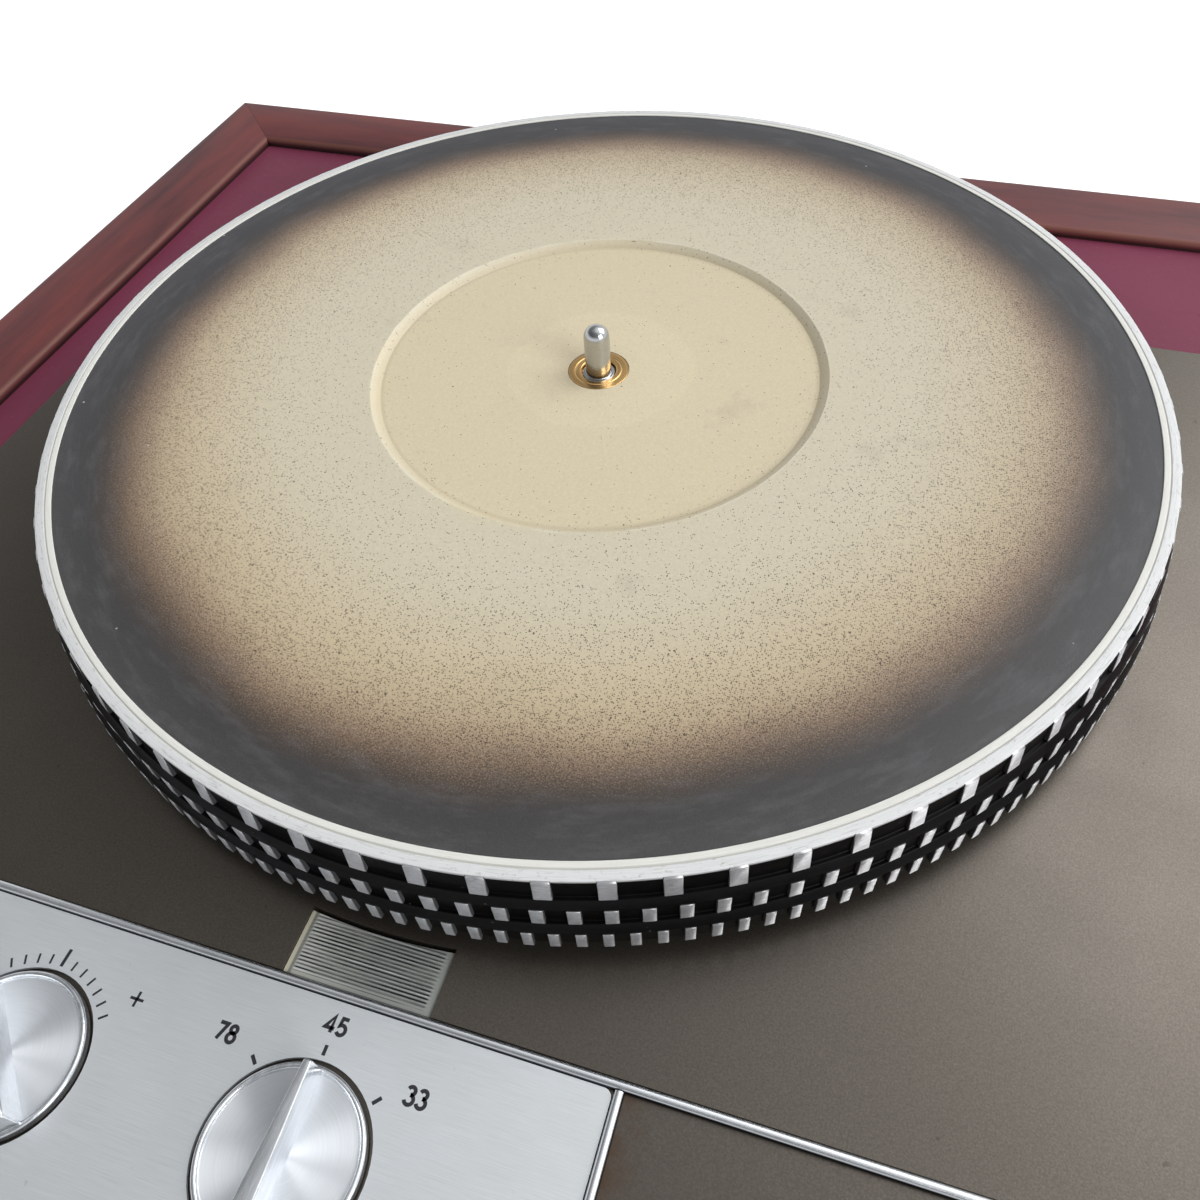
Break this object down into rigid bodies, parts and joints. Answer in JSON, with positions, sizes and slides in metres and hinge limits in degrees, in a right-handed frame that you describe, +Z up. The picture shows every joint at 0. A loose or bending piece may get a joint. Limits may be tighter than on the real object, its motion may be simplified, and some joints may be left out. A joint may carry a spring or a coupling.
{
  "type": "turntable",
  "caption": "Idler-drive record turntable: cast platter with rows of strobe lugs on a painted motor unit, control knobs and strobe window, set in a mitred hardwood plinth.",
  "frame": {"origin": "on the floor under the middle of the plinth", "axes": "+X to the right along the plinth's width, +Y to the rear, +Z up, control knobs at the front (-Y)"},
  "size_m": [0.532, 0.456, 0.1697],
  "materials": {
    "rail_wood": "satin lacquer",
    "board_lacquer": "satin lacquer",
    "plain_wood": "raw",
    "rubber": "matte",
    "steel": "machined",
    "deck_paint": "satin metallic paint",
    "plate_alu": "brushed",
    "chrome": "polished",
    "knob_alu": "spun",
    "window_clear": "ribbed clear",
    "lamp_glass": "clear",
    "brass": "machined",
    "cast_alu": "as cast",
    "platter_cast": "painted face, bare ring and lugs",
    "motor_black": "stove enamel",
    "stator_iron": "laminated",
    "magnet_black": "matte",
    "black_plastic": "moulded",
    "ivory_plastic": "moulded"
  },
  "bodies": {
    "base": {"front_rail": "rail_wood", "rear_rail": "rail_wood", "left_rail": "rail_wood", "right_rail": "rail_wood", "top_board": "board_lacquer", "base_board": "plain_wood", "corner_blocks": "plain_wood", "board_cleats": "plain_wood", "feet": "rubber", "foot_screws": "steel", "base_screws": "steel", "cable_grommet": "rubber", "chassis": "deck_paint", "chassis_bolts": "steel", "control_plate": "plate_alu", "rear_trim": "chrome", "end_trim": "chrome", "strobe_window": "window_clear", "lamp_holder": "steel", "strobe_lamp": "lamp_glass", "knob_bushes": "brass", "bearing_housing": "cast_alu", "bearing_bushes": "brass", "bearing_cap": "steel", "thrust_ball": "steel", "bearing_screws": "steel", "motor_pillars": "steel", "motor_grommets": "rubber", "pillar_nuts": "steel", "upper_cover": "motor_black", "stator": "stator_iron", "lower_cover": "motor_black", "idler_pivot": "steel", "brake_pivot": "steel", "magnet_post": "steel", "mains_switch": "black_plastic", "terminal_block": "ivory_plastic"},
    "platter": {"platter": "platter_cast", "hub_bush": "brass", "spindle": "steel"},
    "rotor": {"rotor": "steel", "motor_shaft": "steel", "drive_pulley": "brass", "eddy_disc": "cast_alu"},
    "idler_arm": {"idler_arm": "steel", "idler_axle": "steel", "idler_clip": "steel"},
    "idler_wheel": {"idler_hub": "cast_alu", "idler_tyre": "rubber"},
    "brake_arm": {"brake_arm": "steel", "brake_pad": "rubber"},
    "magnet_arm": {"magnet_arm": "steel", "brake_magnet": "magnet_black"},
    "speed_control": {"speed_knob": "knob_alu", "speed_shaft": "steel"},
    "pitch_control": {"pitch_knob": "knob_alu", "pitch_shaft": "steel"},
    "power_control": {"power_knob": "knob_alu", "power_shaft": "steel"}
  },
  "joints": [
    {"name": "platter_spin", "type": "hinge", "parent": "base", "child": "platter", "pos_m": [-0.035, 0.049, 0.157], "axis": [0, 0, 1], "continuous": true},
    {"name": "idler_swing", "type": "hinge", "parent": "base", "child": "idler_arm", "pos_m": [-0.08742, 0.06678, 0.13], "axis": [0, 0, 1], "range_deg": [0, 3.5]},
    {"name": "idler_spin", "type": "hinge", "parent": "idler_arm", "child": "idler_wheel", "pos_m": [-0.13808, 0.01148, 0.138], "axis": [0, 0, 1], "continuous": true},
    {"name": "motor_spin", "type": "hinge", "parent": "base", "child": "rotor", "pos_m": [-0.12937, 0.04398, 0.138], "axis": [0, 0, 1], "continuous": true},
    {"name": "speed_turn", "type": "hinge", "parent": "base", "child": "speed_control", "pos_m": [-0.035, -0.1519, 0.127], "axis": [0, 0, 1], "range_deg": [-45, 45]},
    {"name": "pitch_turn", "type": "hinge", "parent": "base", "child": "pitch_control", "pos_m": [-0.0976, -0.1519, 0.127], "axis": [0, 0, 1], "range_deg": [-94, 6]},
    {"name": "magnet_swing", "type": "hinge", "parent": "base", "child": "magnet_arm", "pos_m": [-0.16187, -0.01231, 0.054], "axis": [0, 0, 1], "range_deg": [-11.75, 0.75]},
    {"name": "power_turn", "type": "hinge", "parent": "base", "child": "power_control", "pos_m": [-0.1602, -0.1519, 0.127], "axis": [0, 0, 1], "range_deg": [0, 60]},
    {"name": "brake_swing", "type": "hinge", "parent": "base", "child": "brake_arm", "pos_m": [-0.05953, -0.06642, 0.13], "axis": [0, 0, 1], "range_deg": [0, 2.3]}
  ],
  "couplings": [
    {"joint": "idler_spin", "follows": "platter_spin", "ratio": 4.7931},
    {"joint": "motor_spin", "follows": "platter_spin", "ratio": -31.954},
    {"joint": "magnet_swing", "follows": "pitch_turn", "ratio": 0.125},
    {"joint": "idler_swing", "follows": "power_turn", "ratio": 0.058333},
    {"joint": "brake_swing", "follows": "power_turn", "ratio": 0.038333}
  ]
}
